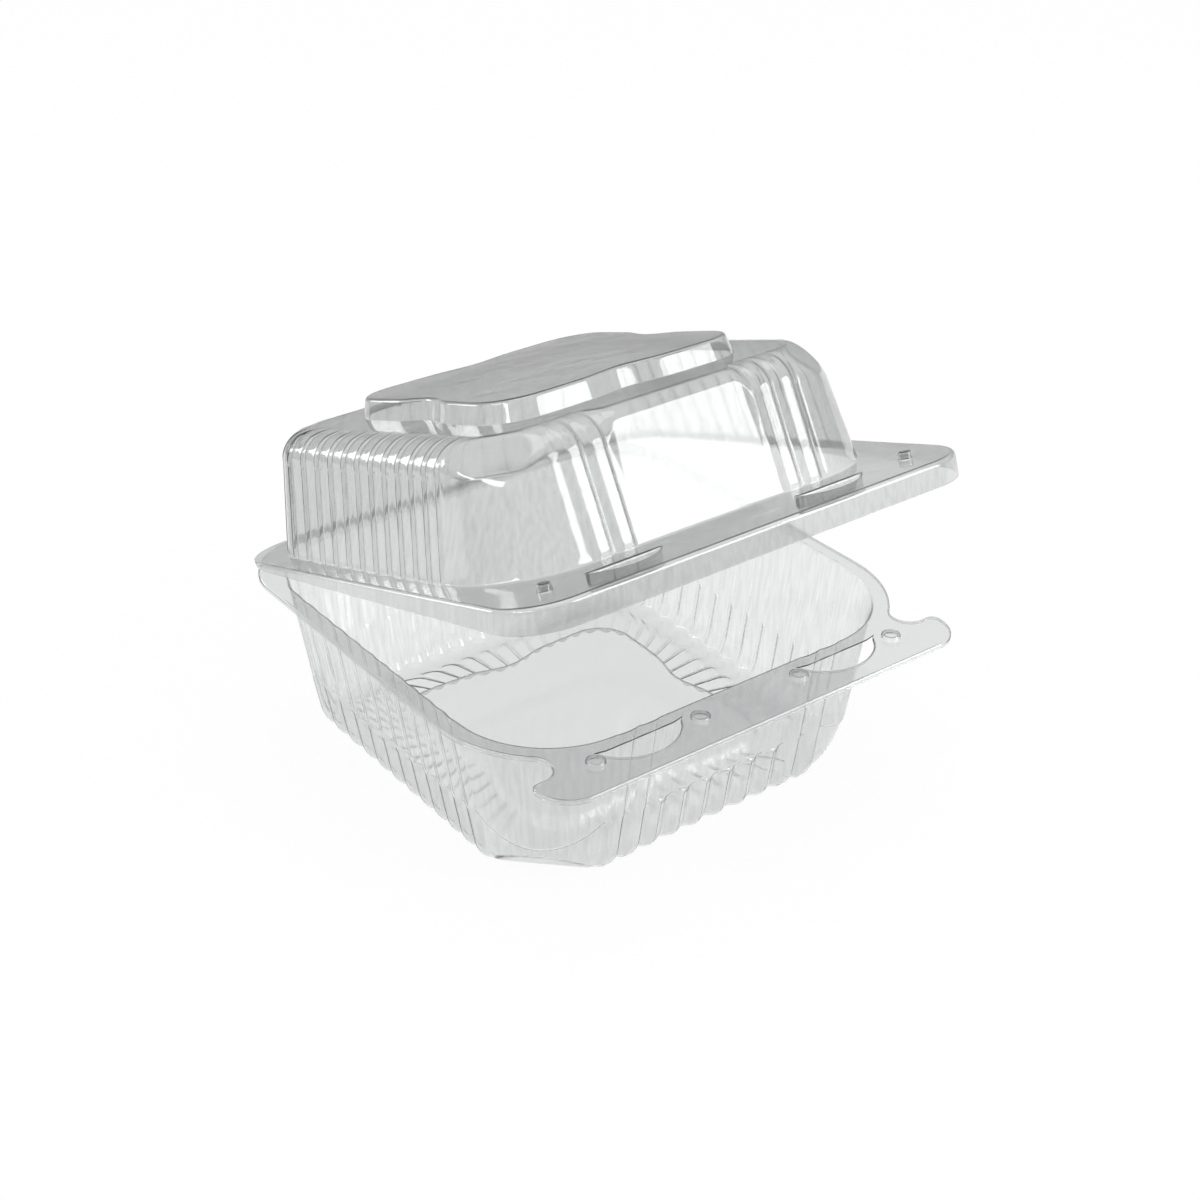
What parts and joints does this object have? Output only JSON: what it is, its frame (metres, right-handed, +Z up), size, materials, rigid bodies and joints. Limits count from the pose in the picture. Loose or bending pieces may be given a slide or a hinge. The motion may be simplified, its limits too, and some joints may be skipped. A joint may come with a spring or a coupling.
{
  "type": "hinged clear food box",
  "caption": "Clear thermoformed clamshell food box: square fluted tray with a latch rim and a domed fluted lid that swings on a hinge along the back edge.",
  "frame": {"origin": "middle of the box's plan, on the table plane under the foot", "axes": "+Z up from the table, +Y from the latch tab at the front to the hinge at the back, +X to the right as seen from the front"},
  "size_m": [0.1428, 0.1535, 0.1194],
  "materials": {
    "clear_sheet_tray": "clear gloss",
    "clear_sheet_lid": "clear gloss"
  },
  "bodies": {
    "tray": {"tray": "clear_sheet_tray"},
    "lid": {"lid": "clear_sheet_lid"}
  },
  "joints": [
    {"name": "lid_hinge", "type": "hinge", "parent": "tray", "child": "lid", "pos_m": [0, 0.07555, 0.0468], "axis": [-1, 0, 0], "range_deg": [-18.4, 161]}
  ]
}
